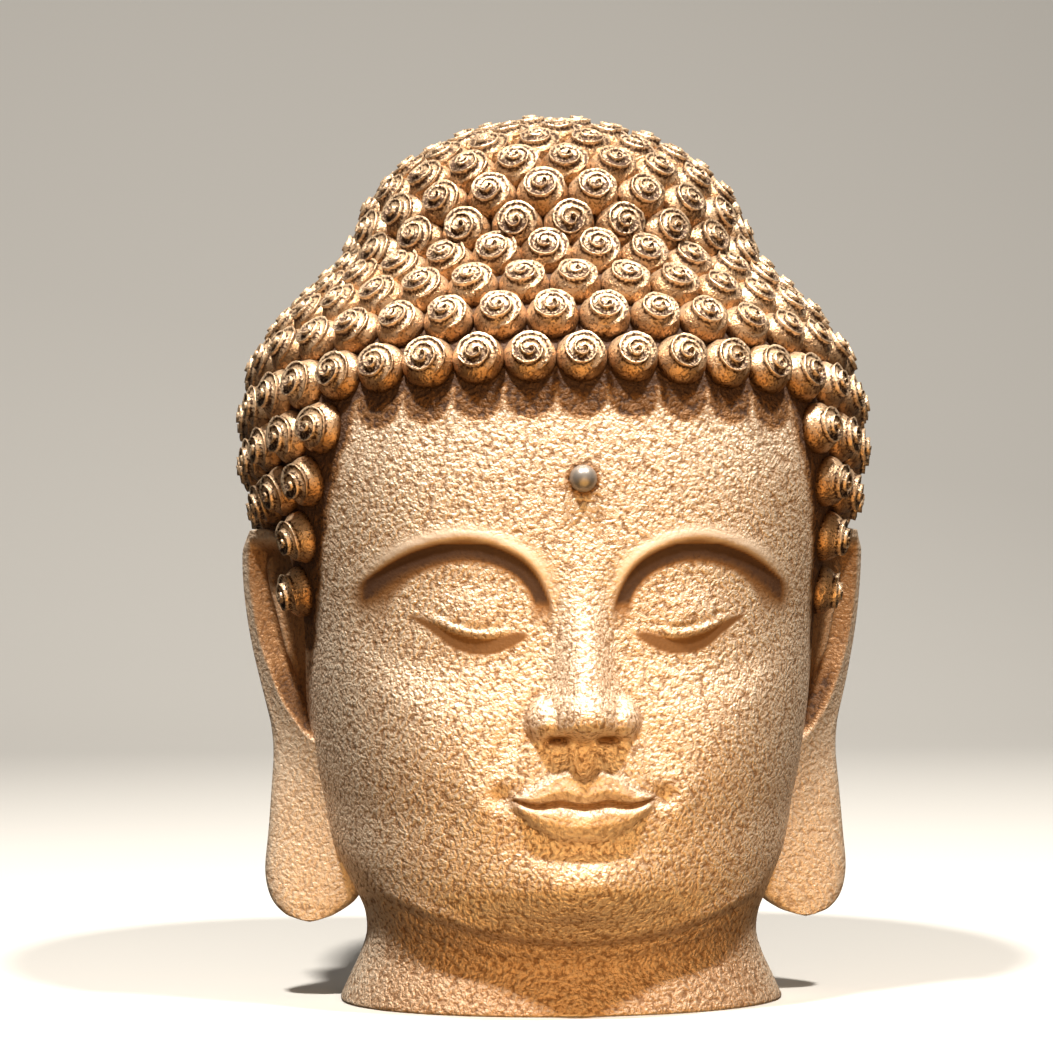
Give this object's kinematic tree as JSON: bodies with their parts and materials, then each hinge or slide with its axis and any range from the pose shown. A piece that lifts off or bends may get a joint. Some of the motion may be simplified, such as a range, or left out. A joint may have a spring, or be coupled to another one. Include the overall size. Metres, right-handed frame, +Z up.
{
  "type": "buddha head statue",
  "caption": "Cast bust of a serene head with snail-shell curls, a domed crown bump, long ear lobes and a forehead bead, cut flat below a flared neck.",
  "frame": {"origin": "centre of the bounding box's underside, on the flat base of the neck", "axes": "+Z up through the crown, -Y the way the face looks, +X toward its left ear"},
  "size_m": [0.304, 0.3187, 0.42],
  "materials": {
    "antique_gold": "hammered cast skin with a dark brown wash in its hollows, curls brighter",
    "grey_metal": "smooth satin"
  },
  "bodies": {
    "root": {"head": "antique_gold", "urna_bead": "grey_metal"}
  },
  "joints": []
}
